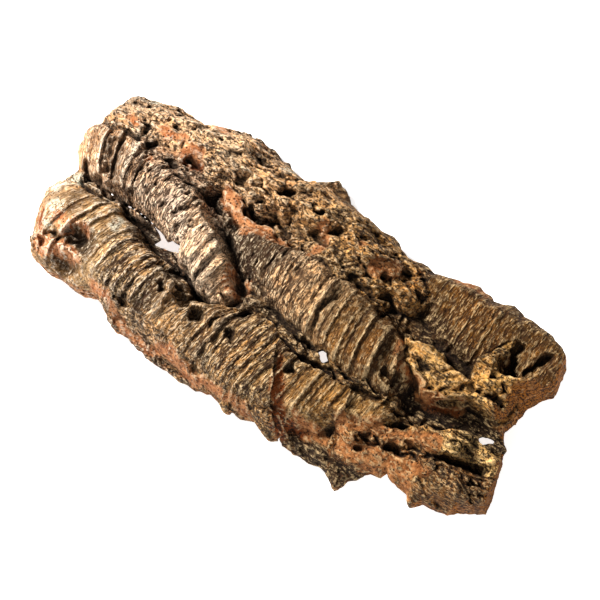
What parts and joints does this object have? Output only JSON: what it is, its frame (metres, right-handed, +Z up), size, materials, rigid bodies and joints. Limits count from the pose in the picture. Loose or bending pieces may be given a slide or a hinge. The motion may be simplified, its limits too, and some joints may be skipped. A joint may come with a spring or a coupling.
{
  "type": "cork bark slab",
  "caption": "Arched slab of virgin cork bark with pleated ribs, deep furrows, splits and a ragged edge; lies outer face up as a hide, ramp or backing piece.",
  "frame": {"origin": "middle of the slab's bounding box at the surface that it rests on", "axes": "+X along the slab towards its sawn end, +Y across it towards the far edge, +Z up out of the weathered outer face"},
  "size_m": [0.367, 0.177, 0.0708],
  "materials": {
    "cork_bark": "raw weathered cork bark, matt, grey-brown with tan broken cork"
  },
  "bodies": {
    "root": {"cork_bark_slab": "cork_bark"}
  },
  "joints": []
}
